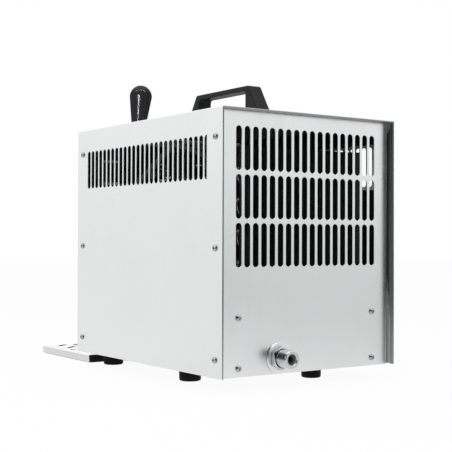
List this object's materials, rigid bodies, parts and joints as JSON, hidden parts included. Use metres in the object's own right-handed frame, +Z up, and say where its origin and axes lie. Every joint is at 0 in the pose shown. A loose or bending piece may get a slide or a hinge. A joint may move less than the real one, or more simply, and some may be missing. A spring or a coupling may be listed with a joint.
{
  "type": "dry cooled beer dispenser",
  "caption": "Boxy stainless dry beer cooler with a vented case, carry handle, tap on the front, slotted drip tray and a beer inlet at the back.",
  "frame": {"origin": "middle of the overall width and depth, on the counter that the feet and the drip pan rest on", "axes": "+Z up; -Y is the front with the tap and the drip tray; +Y is the back with the beer inlet; +X is to the right when looking along +Y"},
  "size_m": [0.2898, 0.566, 0.4397],
  "materials": {
    "satin_stainless": "fine satin brushed stainless sheet",
    "galvanised_sheet": "zinc coated sheet",
    "plated_screw": "bright zinc plate",
    "chrome_plate": "polished",
    "stainless_tube": "drawn tube",
    "cast_aluminium": "as cast",
    "copper_tube": "drawn copper tube",
    "black_paint": "semi-gloss black paint",
    "black_plastic": "fine grained black plastic",
    "gloss_black": "glossy black plastic",
    "dark_foam": "dark closed-cell foam",
    "foot_rubber": "moulded rubber"
  },
  "bodies": {
    "case": {"wrap_cover": "satin_stainless", "front_panel": "satin_stainless", "rear_panel": "satin_stainless", "base_plate": "galvanised_sheet", "cover_screw_left_front_low": "plated_screw", "cover_screw_right_front_low": "plated_screw", "cover_screw_left_front_middle": "plated_screw", "cover_screw_right_front_middle": "plated_screw", "cover_screw_left_front_high": "plated_screw", "cover_screw_right_front_high": "plated_screw", "cover_screw_left_rear_low": "plated_screw", "cover_screw_right_rear_low": "plated_screw", "cover_screw_left_rear_middle": "plated_screw", "cover_screw_right_rear_middle": "plated_screw", "cover_screw_left_rear_high": "plated_screw", "cover_screw_right_rear_high": "plated_screw", "rear_screw_left_low": "plated_screw", "rear_screw_right_low": "plated_screw", "rear_screw_left_high": "plated_screw", "rear_screw_right_high": "plated_screw", "foot_front_left": "foot_rubber", "foot_front_right": "foot_rubber", "foot_rear_left": "foot_rubber", "foot_rear_right": "foot_rubber", "foot_rear_middle": "foot_rubber", "carry_handle": "black_plastic", "tap_shank": "chrome_plate", "tap_shank_nut": "chrome_plate", "tap_wall_flange": "chrome_plate", "tap_coupling_nut": "chrome_plate", "tap_body": "chrome_plate", "tap_bonnet": "chrome_plate", "inlet_washer": "chrome_plate", "inlet_nut": "chrome_plate", "inlet_fitting": "chrome_plate", "cooling_block": "cast_aluminium", "foam_tub": "dark_foam", "foam_lid": "dark_foam", "beer_line_in": "stainless_tube", "beer_line_out": "stainless_tube", "compressor": "black_paint", "compressor_terminal_cover": "black_plastic", "condenser": "black_paint", "condenser_bracket": "galvanised_sheet", "fan_shroud": "galvanised_sheet", "fan_motor": "black_paint", "hot_gas_pipe": "dark_foam", "suction_pipe": "copper_tube", "filter_drier": "copper_tube", "thermostat_body": "black_plastic", "switch_housing": "black_plastic", "cable_gland": "black_plastic"},
    "tap_handle": {"tap_lever": "chrome_plate", "tap_knob": "gloss_black"},
    "flow_control": {"flow_lever": "chrome_plate"},
    "fan": {"fan_rotor": "black_plastic"},
    "thermostat_dial": {"thermostat_knob": "black_plastic"},
    "power_rocker": {"switch_rocker": "gloss_black"},
    "pan": {"drip_pan": "black_plastic"},
    "grid": {"drip_grid": "satin_stainless"}
  },
  "joints": [
    {"name": "tap_handle_pull", "type": "hinge", "parent": "case", "child": "tap_handle", "pos_m": [0, -0.188, 0.326], "axis": [1, 0, 0], "range_deg": [-12, 45]},
    {"name": "flow_lever_turn", "type": "hinge", "parent": "case", "child": "flow_control", "pos_m": [0.018, -0.157, 0.29], "axis": [1, 0, 0], "range_deg": [0, 90]},
    {"name": "fan_spin", "type": "hinge", "parent": "case", "child": "fan", "pos_m": [-0.0005, 0.1988, 0.2104], "axis": [0, 1, 0], "continuous": true},
    {"name": "thermostat_turn", "type": "hinge", "parent": "case", "child": "thermostat_dial", "pos_m": [-0.088, -0.12, 0.29], "axis": [0, 1, 0], "range_deg": [0, 300]},
    {"name": "power_switch_rock", "type": "hinge", "parent": "case", "child": "power_rocker", "pos_m": [0.088, -0.11475, 0.29], "axis": [1, 0, 0], "range_deg": [0, 16]},
    {"name": "drip_pan_slide", "type": "slide", "parent": "case", "child": "pan", "axis": [0, -1, 0], "range_m": [0, 0.06]},
    {"name": "drip_grid_lift", "type": "slide", "parent": "pan", "child": "grid", "axis": [0, 0, 1], "range_m": [0, 0.03]}
  ]
}
